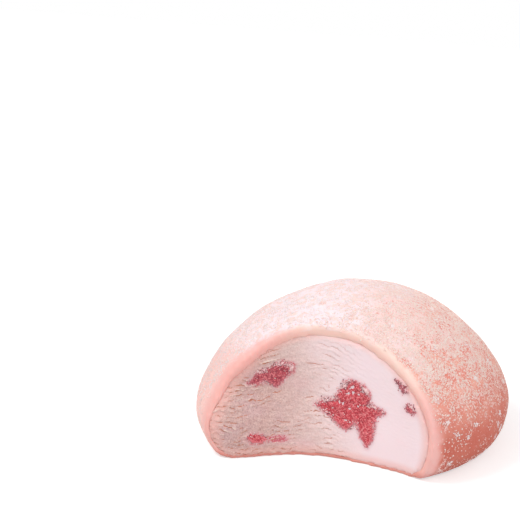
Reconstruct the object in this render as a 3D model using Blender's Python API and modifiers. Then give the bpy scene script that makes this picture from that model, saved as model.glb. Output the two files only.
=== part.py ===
"""A bitten strawberry mochi ice cream, standing on its flat base.

A chewy rice-dough skin wraps a dome of ice cream. One bite has been taken from
the -Y side, so the cut face shows the ice cream, the skin all round it, and the
pieces of strawberry set in it. The origin is the centre of the round flat base
on the surface the sweet stands on, +Z is up and the bite faces -Y.
"""

import math

import bmesh
import bpy
from mathutils import Matrix, Vector

MM = 0.001

# The whole sweet, before the bite.
DOME_RADIUS = 29.0 * MM          # widest radius of the skin
DOME_HEIGHT = 28.0 * MM          # top of the skin above the base
WIDEST_HEIGHT = 5.7 * MM         # height at which the dome is widest
BASE_RADIUS = 24.6 * MM          # round flat that it stands on
DOME_FULLNESS = 1.84             # exponent of the upper curve, 2 is an ellipse

# The skin's thickness round the filling.
SKIN_SIDE = 1.6 * MM
SKIN_TOP = 2.4 * MM
SKIN_FLOOR = 0.65 * MM
FILLING_OFFSET = -0.5 * MM       # the filling sits a little to -X
CLEARANCE = 0.3 * MM             # gap kept between neighbouring pieces

# The bite: a large round mouthful, nearly upright.
BITE_RADIUS = 42.0 * MM
BITE_DEPTH_LINE = 13.8 * MM      # from the base's centre to the bite's deepest foot
BITE_MIDDLE = 1.4 * MM           # the deepest foot lies this far to +X
BITE_LEAN = math.atan2(0.2, 28.0)
BITE_TALL = 90.0 * MM
BITE_SIDES = 128

# How the soft sweet has slumped out of round: it has sunk and drawn in at the
# upper left, spread forwards at the lower left, and tucked in at the lower right.
SINK = 0.5 * MM
DRAW_IN = 1.0 * MM
SPREAD = 3.0 * MM
FRONT_BULGE = 0.6 * MM
SPREAD_TO_RIGHT = 0.33           # share of the forward move that goes to +X
TUCK = 0.5 * MM
CORNER_HELD = 0.76               # share of the spread that the far left does not make

# How finely the turned shapes are divided.
TURN_STEPS = 72
UPPER_STEPS = 13
LOWER_STEPS = 6

# Strawberry pieces. Each outline lists the corners of its cut face in
# millimetres as (across, height), seen from -Y, and goes deep into the ice cream.
CENTRE_OUTLINE = (
    (-2.2, 9.9), (-0.4, 8.7), (1.7, 7.3), (3.1, 6.1), (4.2, 6.1), (5.5, 7.7),
    (6.1, 6.6), (6.6, 4.9), (7.7, 3.3), (8.8, 4.9), (9.3, 7.7), (9.6, 9.5),
    (11.3, 10.6), (9.5, 11.1), (8.3, 11.9), (8.0, 13.8), (6.8, 14.8), (4.8, 15.3),
    (3.6, 14.9), (2.6, 13.3), (1.6, 11.3), (-0.1, 11.1),
)
UPPER_LEFT_OUTLINE = (
    (-15.0, 13.2), (-13.4, 13.1), (-11.4, 13.7), (-9.6, 12.6), (-8.6, 13.5),
    (-7.6, 14.6), (-6.4, 15.6), (-6.1, 17.1), (-8.6, 17.5), (-10.6, 16.3),
    (-12.6, 15.9), (-13.8, 14.5),
)
LOWER_LEFT_OUTLINE = (
    (-13.9, 3.8), (-13.1, 2.8), (-11.4, 2.7), (-10.3, 3.2), (-11.4, 4.1),
    (-13.3, 4.5),
)
RIGHT_OUTLINE = (
    (15.3, 12.7), (15.6, 12.0), (16.8, 11.7), (17.6, 12.2), (16.7, 13.3),
    (16.0, 13.5),
)
SHRED_OUTLINE = (
    (13.0, 17.1), (13.9, 16.2), (14.7, 15.0), (15.1, 15.3), (15.9, 15.8),
    (15.0, 16.2), (14.4, 16.5), (13.7, 17.2),
)
PIECES = {
    "strawberry_centre": (CENTRE_OUTLINE, 4.2 * MM),
    "strawberry_upper_left": (UPPER_LEFT_OUTLINE, 3.2 * MM),
    "strawberry_lower_left": (LOWER_LEFT_OUTLINE, 2.2 * MM),
    "strawberry_right": (RIGHT_OUTLINE, 2.0 * MM),
    "strawberry_shred": (SHRED_OUTLINE, 1.6 * MM),
}
PIECE_TAPER = 0.72               # size of a piece's buried end against its face
PIECE_REACH = 4.0 * MM           # how far a piece's cutter stands out in front

# Surface colours, linear red, green and blue, and roughness.
LOOKS = {
    "dough": ((0.84, 0.47, 0.41, 1.0), 0.72),
    "ice": ((0.76, 0.55, 0.53, 1.0), 0.60),
    "berry": ((0.56, 0.075, 0.085, 1.0), 0.45),
}


def clear_scene():
    """Removes what the scene already holds."""
    for existing in list(bpy.data.objects):
        bpy.data.objects.remove(existing, do_unlink=True)


def new_collection(name):
    """Makes a collection in the scene."""
    collection = bpy.data.collections.new(name)
    bpy.context.scene.collection.children.link(collection)
    return collection


def material(name):
    """Makes one Principled material from LOOKS."""
    colour, roughness = LOOKS[name]
    made = bpy.data.materials.new(name)
    made.use_nodes = True
    shader = made.node_tree.nodes["Principled BSDF"]
    shader.inputs["Base Color"].default_value = colour
    shader.inputs["Roughness"].default_value = roughness
    return made


def dome_profile(side, top, floor):
    """Half section of the dome, from its top down to its base, set in by the given amounts."""
    radius = DOME_RADIUS - side
    height = DOME_HEIGHT - top
    base = BASE_RADIUS - side
    points = [Vector((0.0, 0.0, height))]
    for step in range(1, UPPER_STEPS + 1):
        turn = math.radians(90.0) * (1.0 - step / UPPER_STEPS)
        across = radius * math.cos(turn) ** (2.0 / DOME_FULLNESS)
        rise = (height - WIDEST_HEIGHT) * math.sin(turn) ** (2.0 / DOME_FULLNESS)
        points.append(Vector((across, 0.0, WIDEST_HEIGHT + rise)))
    for step in range(1, LOWER_STEPS + 1):
        turn = math.radians(90.0) * step / LOWER_STEPS
        across = base + (radius - base) * math.cos(turn)
        drop = (WIDEST_HEIGHT - floor) * math.sin(turn)
        points.append(Vector((across, 0.0, WIDEST_HEIGHT - drop)))
    points.append(Vector((0.0, 0.0, floor)))
    return points


def ease(low, high, value):
    """Rises smoothly from 0 at low to 1 at high, both in millimetres."""
    share = min(max((value / MM - low) / (high - low), 0.0), 1.0)
    return share * share * (3.0 - 2.0 * share)


def slumped(point):
    """Where a point of the round sweet lies once it has slumped."""
    x, y, z = point
    front = ease(2.0, -14.0, y)
    left = ease(4.0, -17.0, x) ** 2
    left *= 1.0 - CORNER_HELD * ease(-16.0, -23.0, x)
    near_floor = 1.0 - ease(4.0, 14.0, z)
    forwards = front * near_floor * (FRONT_BULGE * ease(18.0, 8.0, x) + SPREAD * left)
    side = ease(-3.0, -16.0, x)
    inwards = DRAW_IN * side * ease(5.0, 12.0, z)
    inwards -= TUCK * ease(10.0, 22.0, x) * (1.0 - ease(4.0, 10.0, z))
    down = SINK * side * ease(8.0, 20.0, z)
    return Vector((x + inwards + SPREAD_TO_RIGHT * forwards, y - forwards, z - down))


def settle(made):
    """Fixes a piece's modifiers in its mesh and lets it slump."""
    graph = bpy.context.evaluated_depsgraph_get()
    shape = made.evaluated_get(graph)
    mesh = bpy.data.meshes.new_from_object(shape)
    mesh.transform(made.matrix_world)
    for corner in mesh.vertices:
        corner.co = slumped(corner.co)
    return mesh


def turned(name, profile, collection, offset=0.0):
    """Turns a half section about an upright axis that stands offset along X."""
    mesh = bpy.data.meshes.new(name)
    shape = bmesh.new()
    corners = [shape.verts.new(point) for point in profile]
    for first, second in zip(corners, corners[1:]):
        shape.edges.new((first, second))
    shape.to_mesh(mesh)
    shape.free()
    made = bpy.data.objects.new(name, mesh)
    made.location.x = offset
    collection.objects.link(made)
    screw = made.modifiers.new("turn", "SCREW")
    screw.axis = "Z"
    screw.angle = math.tau
    screw.steps = TURN_STEPS
    screw.render_steps = TURN_STEPS
    screw.use_merge_vertices = True
    screw.merge_threshold = 0.00001
    screw.use_smooth_shade = True
    return made


def as_cutter(made):
    """Marks an object as one that only shapes others."""
    made.hide_render = True
    made.display_type = "WIRE"
    return made


def combine(made, tool, operation, label):
    """Adds a Boolean modifier."""
    boolean = made.modifiers.new(label, "BOOLEAN")
    boolean.object = tool
    boolean.operation = operation
    boolean.solver = "EXACT"
    return boolean


def bite_tool(collection):
    """The mouthful: a wide upright cylinder whose near side is almost plumb."""
    bpy.ops.mesh.primitive_cylinder_add(
        vertices=BITE_SIDES, radius=BITE_RADIUS, depth=BITE_TALL)
    made = bpy.context.object
    made.name = made.data.name = "bite_tool"
    for holder in list(made.users_collection):
        holder.objects.unlink(made)
    collection.objects.link(made)
    foot = Vector((BITE_MIDDLE, -(BITE_DEPTH_LINE + BITE_RADIUS), 0.0))
    lean = Matrix.Rotation(-BITE_LEAN, 4, "X")
    made.data.transform(Matrix.Translation(foot) @ lean)
    return as_cutter(made)


def widened(outline, amount):
    """Moves every side of a flat outline outwards by the same amount."""
    total = len(outline)
    moved = []
    for index, corner in enumerate(outline):
        before = (corner - outline[index - 1]).normalized()
        after = (outline[(index + 1) % total] - corner).normalized()
        out_before = Vector((before.z, 0.0, -before.x))
        out_after = Vector((after.z, 0.0, -after.x))
        middle = (out_before + out_after).normalized()
        reach = min(amount / max(middle.dot(out_after), 0.35), 2.2 * amount)
        moved.append(corner + middle * reach)
    return moved


def wall_y(across, height):
    """Y of the bite's face at a point across it."""
    lean = height * math.tan(BITE_LEAN)
    bow = (across - BITE_MIDDLE) ** 2 / (2.0 * BITE_RADIUS)
    return lean - BITE_DEPTH_LINE - bow


def wedge(name, outline_mm, depth, grow, collection):
    """A piece with the given face, narrowing as it goes into the ice cream."""
    outline = [Vector((x * MM, 0.0, z * MM)) for x, z in outline_mm]
    middle = sum(outline, Vector()) / len(outline)
    if grow:
        outline = widened(outline, grow)
    face_y = wall_y(middle.x, middle.z)
    mesh = bpy.data.meshes.new(name)
    shape = bmesh.new()
    near = shape.faces.new([shape.verts.new(point) for point in outline])
    bmesh.ops.translate(
        shape, verts=shape.verts, vec=(0.0, face_y - PIECE_REACH, 0.0))
    front = near
    for end_y, scale in ((face_y, 1.0), (face_y + depth + grow, PIECE_TAPER)):
        grown = bmesh.ops.extrude_face_region(shape, geom=[front])["geom"]
        if front is not near:
            bmesh.ops.delete(shape, geom=[front], context="FACES_ONLY")
        front = next(item for item in grown if isinstance(item, bmesh.types.BMFace))
        for corner in front.verts:
            offset = corner.co - middle
            corner.co.x = middle.x + offset.x * scale
            corner.co.z = middle.z + offset.z * scale
            corner.co.y = end_y
    bmesh.ops.recalc_face_normals(shape, faces=shape.faces)
    shape.to_mesh(mesh)
    shape.free()
    made = bpy.data.objects.new(name, mesh)
    collection.objects.link(made)
    return made


def finish(made, look):
    """Gives a piece its material and smooth shading."""
    made.data.materials.append(look)
    made.data.shade_smooth()
    made.data.set_sharp_from_angle(angle=math.radians(40.0))


def main():
    """Builds the skin, the ice cream and the strawberry pieces."""
    clear_scene()
    parts = new_collection("mochi_ice_cream")
    cutters = new_collection("cutters")
    looks = {name: material(name) for name in LOOKS}
    bite = bite_tool(cutters)

    cavity = as_cutter(turned(
        "cavity", dome_profile(SKIN_SIDE, SKIN_TOP, SKIN_FLOOR), cutters,
        FILLING_OFFSET))
    skin = turned("mochi_skin", dome_profile(0.0, 0.0, 0.0), parts)
    combine(skin, cavity, "DIFFERENCE", "hollow")
    combine(skin, bite, "DIFFERENCE", "bite")
    finish(skin, looks["dough"])

    filling_profile = dome_profile(
        SKIN_SIDE + CLEARANCE, SKIN_TOP + CLEARANCE, SKIN_FLOOR + CLEARANCE)
    whole = as_cutter(
        turned("filling_form", filling_profile, cutters, FILLING_OFFSET))
    ice_cream = turned("ice_cream", filling_profile, parts, FILLING_OFFSET)
    combine(ice_cream, bite, "DIFFERENCE", "bite")
    combine(whole, bite, "DIFFERENCE", "bite")
    finish(ice_cream, looks["ice"])

    for name, (outline, depth) in PIECES.items():
        pocket = wedge(name + "_pocket", outline, depth, CLEARANCE, cutters)
        combine(ice_cream, as_cutter(pocket), "DIFFERENCE", name)
        piece = wedge(name, outline, depth, 0.0, parts)
        combine(piece, whole, "INTERSECT", "face")
        finish(piece, looks["berry"])

    bpy.context.view_layer.update()
    meshes = {made: settle(made) for made in parts.objects}
    for made, mesh in meshes.items():
        made.modifiers.clear()
        made.location = (0.0, 0.0, 0.0)
        made.data = mesh


main()
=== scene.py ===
"""Looks of a bitten strawberry mochi ice cream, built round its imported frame.

The dough skin, the ice cream with its torn bite face, the strawberry pieces and
the starch powder are modelled here at full detail in place of the plain solids.
"""

import logging
import math
import random
from dataclasses import dataclass, field
from enum import Enum
from typing import Callable, Optional, Sequence, Union

import bmesh
import bpy
import numpy as np
from bmesh.types import BMesh, BMFace, BMVert
from bpy.types import Material, Mesh, Node, NodeSocket, NodeTree, Object
from mathutils import Matrix, Vector, noise

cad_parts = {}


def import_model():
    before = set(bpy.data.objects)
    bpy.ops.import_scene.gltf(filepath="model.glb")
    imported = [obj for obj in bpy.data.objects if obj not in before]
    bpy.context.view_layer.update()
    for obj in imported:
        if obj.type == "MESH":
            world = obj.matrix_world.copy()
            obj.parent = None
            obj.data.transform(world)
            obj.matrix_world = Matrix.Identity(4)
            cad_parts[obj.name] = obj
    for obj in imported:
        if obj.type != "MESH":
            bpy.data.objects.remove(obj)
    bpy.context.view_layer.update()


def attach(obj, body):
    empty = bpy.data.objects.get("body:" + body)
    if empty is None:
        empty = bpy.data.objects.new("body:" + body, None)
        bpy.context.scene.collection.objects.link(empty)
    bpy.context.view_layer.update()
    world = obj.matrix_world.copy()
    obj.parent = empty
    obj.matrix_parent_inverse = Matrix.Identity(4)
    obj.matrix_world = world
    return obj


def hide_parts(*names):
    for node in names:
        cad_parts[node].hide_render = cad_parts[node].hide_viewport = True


MM = 0.001
EASE = 0.5
SWELL = -0.52
MERGE = 0.01 * MM
TURN_STEPS = 180
BITE_SIDES = 288
BITE_HEIGHT = 90.0
GRAIN_SIDES = 4
GRAIN_RINGS = 2
LAMP_AIM = 12.0
LOG = logging.getLogger("mochi")

Value = Union[float, NodeSocket]
Tone = Union[tuple, NodeSocket]


def srgb(red: float, green: float, blue: float) -> tuple[float, float, float, float]:
    """Turns a display colour of 0 to 255 into the linear colour that a shader takes.

    Args:
        red: Display red.
        green: Display green.
        blue: Display blue.

    Returns:
        Linear red, green, blue and an alpha of one.
    """
    def linear(value: float) -> float:
        """Undoes the display curve of one channel."""
        share = value / 255.0
        return share / 12.92 if share <= 0.04045 else ((share + 0.055) / 1.055) ** 2.4
    return (linear(red), linear(green), linear(blue), 1.0)


def smoothstep(low: float, high: float, value: float) -> float:
    """Eases from 0 at low to 1 at high."""
    share = min(max((value - low) / (high - low), 0.0), 1.0)
    return share * share * (3.0 - 2.0 * share)


def ripple(x: float, y: float, z: float, size: float, seed: float = 0.0) -> float:
    """Smooth noise of about -1 to 1 with features of the given size in millimetres."""
    return noise.noise(Vector((
        x / size + seed, y / size - seed, z / size + 2.0 * seed)))


# -------------------------------------------------------------------------------- sizes


@dataclass(frozen=True)
class Dome:
    """The flattened dome's outline, in millimetres."""

    radius: float = 29.0
    height: float = 28.0
    widest: float = 5.7
    base: float = 24.6
    fullness: float = 1.84

    def profile(self, side: float, top: float, floor: float) -> list[Vector]:
        """Half section from the top down to the base.

        Args:
            side: How far the sides are set in.
            top: How far the top is set down.
            floor: How far the base is lifted.

        Returns:
            Points in metres, in the XZ plane.
        """
        radius, height, base = self.radius - side, self.height - top, self.base - side
        points = [Vector((0.0, 0.0, height))]
        steps = 30
        for step in range(1, steps + 1):
            turn = math.pi / 2.0 * (1.0 - step / steps)
            across = radius * math.cos(turn) ** (2.0 / self.fullness)
            rise = (height - self.widest) * math.sin(turn) ** (2.0 / self.fullness)
            points.append(Vector((across, 0.0, self.widest + rise)))
        steps = 12
        for step in range(1, steps + 1):
            turn = math.pi / 2.0 * step / steps
            across = base + (radius - base) * math.cos(turn)
            points.append(Vector(
                (across, 0.0, self.widest - (self.widest - floor) * math.sin(turn))))
        points.append(Vector((0.0, 0.0, floor)))
        return [point * MM for point in points]

    def share(self, point: Vector) -> float:
        """How near the outside a point in metres lies: 1 on it, 0 at the middle.

        Args:
            point: The point, in metres.

        Returns:
            One on the outside, more beyond it.
        """
        x, y, z = point / MM
        across = math.hypot(x, y)
        if z > self.widest:
            rise = min((z - self.widest) / (self.height - self.widest), 1.2)
            return ((across / self.radius) ** self.fullness
                    + rise ** self.fullness) ** (1.0 / self.fullness)
        drop = min((self.widest - z) / self.widest, 1.0)
        limit = self.base + (self.radius - self.base) * math.sqrt(1.0 - drop * drop)
        return across / limit


@dataclass(frozen=True)
class Bite:
    """The mouthful's round, slightly leaning wall, in millimetres."""

    radius: float = 42.0
    foot: float = 13.8
    middle: float = 1.4
    lean: float = math.atan2(0.2, 28.0)

    def wall(self, x: float, z: float) -> float:
        """Y of the wall at a point across it and a height, all in millimetres."""
        bow = (x - self.middle) ** 2 / (2.0 * self.radius)
        return z * math.tan(self.lean) - self.foot - bow

    def depth(self, point: Vector) -> float:
        """How far a point in metres lies behind the wall, in millimetres."""
        x, y, z = point / MM
        return y - self.wall(x, z)


DOME = Dome()
BITE = Bite()


@dataclass(frozen=True)
class Slump:
    """How the soft sweet has settled out of round, in millimetres."""

    sink: float = 0.5
    draw_in: float = 1.0
    spread: float = 3.0
    bulge: float = 0.6
    to_right: float = 0.33
    tuck: float = 0.5
    corner: float = 0.76

    def moved(self, point: Vector) -> Vector:
        """Where a point of the round sweet, in metres, lies once it has slumped.

        Args:
            point: The point, in metres.

        Returns:
            The moved point, in metres.
        """
        x, y, z = point / MM
        front = smoothstep(2.0, -14.0, y)
        left = smoothstep(4.0, -17.0, x) ** 2
        left *= 1.0 - self.corner * smoothstep(-16.0, -23.0, x)
        near_floor = 1.0 - smoothstep(4.0, 14.0, z)
        forwards = front * near_floor * (
            self.bulge * smoothstep(18.0, 8.0, x) + self.spread * left)
        side = smoothstep(-3.0, -16.0, x)
        inwards = self.draw_in * side * smoothstep(5.0, 12.0, z)
        inwards -= self.tuck * smoothstep(10.0, 22.0, x) * (
            1.0 - smoothstep(4.0, 10.0, z))
        down = self.sink * side * smoothstep(8.0, 20.0, z)
        return Vector((
            x + inwards + self.to_right * forwards, y - forwards, z - down)) * MM

    def settle(self, bm: BMesh) -> None:
        """Moves every point of a body to where it lies."""
        for vert in bm.verts:
            vert.co = self.moved(vert.co)


SLUMP = Slump()


# --------------------------------------------------------------------------- mesh tools


def turned(profile: Sequence[Vector], offset: float = 0.0) -> BMesh:
    """Spins a half section into a closed body.

    Args:
        profile: Points from the top of the axis down to its foot.
        offset: How far along X the axis stands, in metres.

    Returns:
        The closed body.
    """
    bm = bmesh.new()
    verts = [bm.verts.new(point) for point in profile]
    for first, second in zip(verts, verts[1:]):
        bm.edges.new((first, second))
    bmesh.ops.spin(
        bm, geom=bm.verts[:] + bm.edges[:], cent=(0, 0, 0), axis=(0, 0, 1),
        angle=math.tau, steps=TURN_STEPS, use_merge=True, use_duplicate=False)
    bmesh.ops.remove_doubles(bm, verts=bm.verts, dist=MERGE)
    bmesh.ops.translate(bm, verts=bm.verts, vec=(offset, 0.0, 0.0))
    bmesh.ops.recalc_face_normals(bm, faces=bm.faces)
    return bm


def bite_block(recess: float = 0.0) -> BMesh:
    """The space that the mouthful takes away, as a closed body.

    Args:
        recess: How far it reaches past the bite's wall, in millimetres.

    Returns:
        The closed body.
    """
    bm = bmesh.new()
    size = (BITE.radius + recess) * MM
    bmesh.ops.create_cone(
        bm, cap_ends=True, segments=BITE_SIDES, radius1=size, radius2=size,
        depth=BITE_HEIGHT * MM)
    lean = Matrix.Rotation(-BITE.lean, 4, "X")
    foot = Vector((BITE.middle, -(BITE.foot + BITE.radius), 0.0)) * MM
    bmesh.ops.transform(bm, matrix=Matrix.Translation(foot) @ lean, verts=bm.verts)
    return bm


def to_object(name: str, bm: BMesh) -> Object:
    """Puts a finished body in the scene as an object at the origin.

    Args:
        name: The object's name.
        bm: The body, which is used up.

    Returns:
        The object.
    """
    mesh = bpy.data.meshes.new(name)
    bm.to_mesh(mesh)
    bm.free()
    made = bpy.data.objects.new(name, mesh)
    bpy.context.scene.collection.objects.link(made)
    return made


def applied(made: Object) -> BMesh:
    """Reads an object with its modifiers into a bmesh and removes the object.

    Args:
        made: The object, which is used up.

    Returns:
        The body.
    """
    bpy.context.view_layer.update()
    graph = bpy.context.evaluated_depsgraph_get()
    mesh = bpy.data.meshes.new_from_object(made.evaluated_get(graph))
    bm = bmesh.new()
    bm.from_mesh(mesh)
    bpy.data.objects.remove(made, do_unlink=True)
    bpy.data.meshes.remove(mesh)
    return bm


def carved(body: BMesh, tools: Sequence[BMesh], voxel: float) -> BMesh:
    """Cuts tools from a body and gives it an even mesh.

    Args:
        body: The body to cut.
        tools: The bodies taken from it.
        voxel: Size of the even mesh's faces, in millimetres.

    Returns:
        The cut body with even faces and softened edges.
    """
    made = to_object("carved", body)
    cutters = [to_object("cutter", tool) for tool in tools]
    for cutter in cutters:
        cut = made.modifiers.new("cut", "BOOLEAN")
        cut.operation = "DIFFERENCE"
        cut.solver = "EXACT"
        cut.object = cutter
    even = made.modifiers.new("even", "REMESH")
    even.mode = "VOXEL"
    even.voxel_size = voxel * MM
    even.use_smooth_shade = True
    bm = applied(made)
    for cutter in cutters:
        bpy.data.objects.remove(cutter, do_unlink=True)
    return bm


def smooth(bm: BMesh, verts: Sequence[BMVert], factor: float) -> None:
    """Moves points towards the middle of their neighbours, or away from it.

    Args:
        bm: The body.
        verts: The points.
        factor: How far towards the middle, or away where it is under 0.
    """
    bmesh.ops.smooth_vert(
        bm, verts=verts, factor=factor, use_axis_x=True, use_axis_y=True,
        use_axis_z=True)


def relax(bm: BMesh, rounds: int, keep: bool = True) -> None:
    """Smooths a body's mesh, keeping its size.

    Args:
        bm: The body.
        rounds: How many times it is smoothed.
        keep: Whether each round is followed by a swell that undoes its shrinking.
    """
    for _ in range(rounds):
        smooth(bm, bm.verts, EASE)
        if keep:
            smooth(bm, bm.verts, SWELL)


def soften(bm: BMesh, wanted: Callable[[BMVert], bool], rounds: int) -> None:
    """Rounds off the part of a body that a test picks out.

    Args:
        bm: The body.
        wanted: The test that picks out its points.
        rounds: How many times they are smoothed.
    """
    chosen = [vert for vert in bm.verts if wanted(vert)]
    for _ in range(rounds):
        smooth(bm, chosen, EASE)


def refine(bm: BMesh, wanted: Callable[[BMFace], bool], cuts: int) -> None:
    """Divides the faces that a test picks out."""
    edges = {edge for face in bm.faces if wanted(face) for edge in face.edges}
    bmesh.ops.subdivide_edges(bm, edges=list(edges), cuts=cuts, use_grid_fill=True)


def store(mesh: Mesh, name: str, values: Sequence[float]) -> None:
    """Keeps one number for each vertex as a named attribute."""
    layer = mesh.attributes.new(name, "FLOAT", "POINT")
    layer.data.foreach_set("value", np.asarray(values, dtype=np.float32))


def store_marks(mesh: Mesh, marks: Sequence[dict[str, float]]) -> None:
    """Keeps each vertex's marks as named attributes."""
    for name in marks[0]:
        store(mesh, name, [mark[name] for mark in marks])


def kept(mesh: Mesh, name: str) -> np.ndarray:
    """Reads back the numbers that a mesh keeps under a name.

    Args:
        mesh: The mesh.
        name: The attribute's name.

    Returns:
        One number for each vertex.
    """
    values = np.zeros(len(mesh.vertices), dtype=np.float32)
    mesh.attributes[name].data.foreach_get("value", values)
    return values


# ------------------------------------------------------------------------- shader tools


class Graph:
    """Adds and joins shader nodes in one tree."""

    def __init__(self, tree: NodeTree) -> None:
        """Takes the tree to build in."""
        self.tree = tree

    def add(self, kind: str, inputs: Optional[dict] = None,
            **settings: object) -> Node:
        """Adds one node.

        Args:
            kind: The node's type.
            inputs: Values or output sockets for its inputs, by name or number.
            **settings: Its own settings.

        Returns:
            The node.
        """
        node = self.tree.nodes.new(kind)
        for name, value in settings.items():
            setattr(node, name, value)
        for key, value in (inputs or {}).items():
            socket = node.inputs[key]
            if isinstance(value, NodeSocket):
                self.tree.links.new(value, socket)
            else:
                socket.default_value = value
        return node

    def math(self, operation: str, first: Value, second: Value = 0.0,
             third: Value = 0.0) -> NodeSocket:
        """One Math node's result.

        Args:
            operation: What the node works out.
            first: Its first value or socket.
            second: Its second value or socket.
            third: Its third value or socket.

        Returns:
            The result's socket.
        """
        node = self.add(
            "ShaderNodeMath", {0: first, 1: second, 2: third}, operation=operation)
        return node.outputs[0]

    def times(self, first: Value, second: Value) -> NodeSocket:
        """Two values multiplied."""
        return self.math("MULTIPLY", first, second)

    def plus(self, first: Value, second: Value) -> NodeSocket:
        """Two values added."""
        return self.math("ADD", first, second)

    def times_plus(self, first: Value, second: Value, third: Value) -> NodeSocket:
        """Two values multiplied, and a third added."""
        return self.math("MULTIPLY_ADD", first, second, third)

    def larger(self, first: Value, second: Value) -> NodeSocket:
        """The larger of two values."""
        return self.math("MAXIMUM", first, second)

    def span(self, value: Value, low: float, high: float, to_low: float = 0.0,
             to_high: float = 1.0) -> NodeSocket:
        """Eases a value from one range to another.

        Args:
            value: The value or socket.
            low: Where the first range starts.
            high: Where the first range ends.
            to_low: Where the second range starts.
            to_high: Where the second range ends.

        Returns:
            The eased value's socket.
        """
        node = self.add(
            "ShaderNodeMapRange",
            {"Value": value, "From Min": low, "From Max": high, "To Min": to_low,
             "To Max": to_high}, interpolation_type="SMOOTHSTEP")
        return node.outputs["Result"]

    def blend(self, share: Value, first: Tone, second: Tone) -> NodeSocket:
        """Mixes two colours by a share.

        Args:
            share: The second colour's share.
            first: The first colour or socket.
            second: The second colour or socket.

        Returns:
            The mixed colour's socket.
        """
        node = self.add(
            "ShaderNodeMix", {"Factor": share}, data_type="RGBA", clamp_factor=True)
        for socket, value in ((node.inputs[6], first), (node.inputs[7], second)):
            if isinstance(value, NodeSocket):
                self.tree.links.new(value, socket)
            else:
                socket.default_value = value
        return node.outputs[2]

    def place(self) -> NodeSocket:
        """Object coordinates in millimetres.

        Returns:
            The coordinates' socket.
        """
        coords = self.add("ShaderNodeTexCoord")
        node = self.add(
            "ShaderNodeMapping",
            {"Vector": coords.outputs["Object"],
             "Scale": (1.0 / MM, 1.0 / MM, 1.0 / MM)})
        return node.outputs["Vector"]

    def speckle(self, where: NodeSocket, size: float, detail: float,
                rough: float) -> NodeSocket:
        """Noise of 0 to 1 with features of the given size in millimetres.

        Args:
            where: The coordinates' socket.
            size: The features' size.
            detail: How much finer noise is added.
            rough: How strong the finer noise is.

        Returns:
            The noise's socket.
        """
        node = self.add(
            "ShaderNodeTexNoise",
            {"Vector": where, "Scale": 1.0 / size, "Detail": detail,
             "Roughness": rough}, normalize=True)
        return node.outputs["Fac"]

    def attribute(self, name: str) -> NodeSocket:
        """The value that a mesh keeps under a name."""
        node = self.add("ShaderNodeAttribute", attribute_name=name)
        return node.outputs["Fac"]

    def direct_rays(self) -> NodeSocket:
        """One for rays from the camera or a mirror, zero for those that give light.

        Returns:
            The number's socket.
        """
        rays = self.add("ShaderNodeLightPath").outputs
        mirrored = self.larger(rays["Is Glossy Ray"], rays["Is Transmission Ray"])
        return self.larger(rays["Is Camera Ray"], mirrored)

    def feed(self, value: NodeSocket, shader: Node, name: str) -> None:
        """Joins a value to one of a shader's inputs."""
        self.tree.links.new(value, shader.inputs[name])

    def dent(self, shader: Node, height: NodeSocket,
             strength: float, depth: float) -> None:
        """Gives a shader fine dents.

        Args:
            shader: The shader.
            height: The dents' height from 0 to 1.
            strength: How strongly they show.
            depth: Their depth in millimetres.
        """
        bump = self.add(
            "ShaderNodeBump",
            {"Strength": strength, "Distance": depth * MM, "Height": height})
        self.feed(bump.outputs["Normal"], shader, "Normal")


def new_material(name: str) -> tuple[Material, Graph, Node]:
    """Starts a material.

    Args:
        name: The material's name.

    Returns:
        The material, its graph and its Principled shader.
    """
    made = bpy.data.materials.new(name)
    made.use_nodes = True
    graph = Graph(made.node_tree)
    return made, graph, made.node_tree.nodes["Principled BSDF"]


def let_light_in(shader: Node, weight: float,
                 radius: tuple[float, float, float], depth: float) -> None:
    """Makes a finish faintly translucent.

    Args:
        shader: The finish's Principled shader.
        weight: How much light goes in.
        radius: How far each colour goes, against the depth.
        depth: The depth in millimetres.
    """
    shader.inputs["Subsurface Weight"].default_value = weight
    shader.inputs["Subsurface Radius"].default_value = radius
    shader.inputs["Subsurface Scale"].default_value = depth * MM


def frost_group() -> NodeTree:
    """The fine icy grain that the ice cream and the fruit share.

    Returns:
        The node group, made once.
    """
    existing = bpy.data.node_groups.get("icy_grain")
    if existing:
        return existing
    group = bpy.data.node_groups.new("icy_grain", "ShaderNodeTree")
    for name in ("Size", "Stretch"):
        group.interface.new_socket(name, in_out="INPUT", socket_type="NodeSocketFloat")
    for name in ("Grain", "Cell"):
        group.interface.new_socket(name, in_out="OUTPUT", socket_type="NodeSocketFloat")
    graph = Graph(group)
    entry = graph.add("NodeGroupInput")
    upright = graph.math("DIVIDE", 1.0, entry.outputs["Size"])
    level = graph.math("DIVIDE", upright, entry.outputs["Stretch"])
    scale = graph.add("ShaderNodeCombineXYZ", {"X": level, "Y": level, "Z": upright})
    where = graph.add(
        "ShaderNodeVectorMath", {0: graph.place(), 1: scale.outputs["Vector"]},
        operation="MULTIPLY").outputs["Vector"]
    grain = graph.add(
        "ShaderNodeTexNoise",
        {"Vector": where, "Scale": 1.0, "Detail": 3.0, "Roughness": 0.65})
    cells = graph.add(
        "ShaderNodeTexVoronoi", {"Vector": where, "Scale": 1.0}, feature="F1")
    split = graph.add("ShaderNodeSeparateColor", {"Color": cells.outputs["Color"]})
    leave = graph.add("NodeGroupOutput")
    group.links.new(grain.outputs["Fac"], leave.inputs["Grain"])
    group.links.new(split.outputs["Red"], leave.inputs["Cell"])
    return group


def frost(graph: Graph, size: float, stretch: float = 1.0) -> Node:
    """Places the icy grain.

    Args:
        graph: The graph that it goes in.
        size: Height of its grains in millimetres.
        stretch: How many times wider than high the grains are.

    Returns:
        The node with the outputs Grain and Cell.
    """
    node = graph.add("ShaderNodeGroup", node_tree=frost_group())
    node.inputs["Size"].default_value = size
    node.inputs["Stretch"].default_value = stretch
    return node


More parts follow.
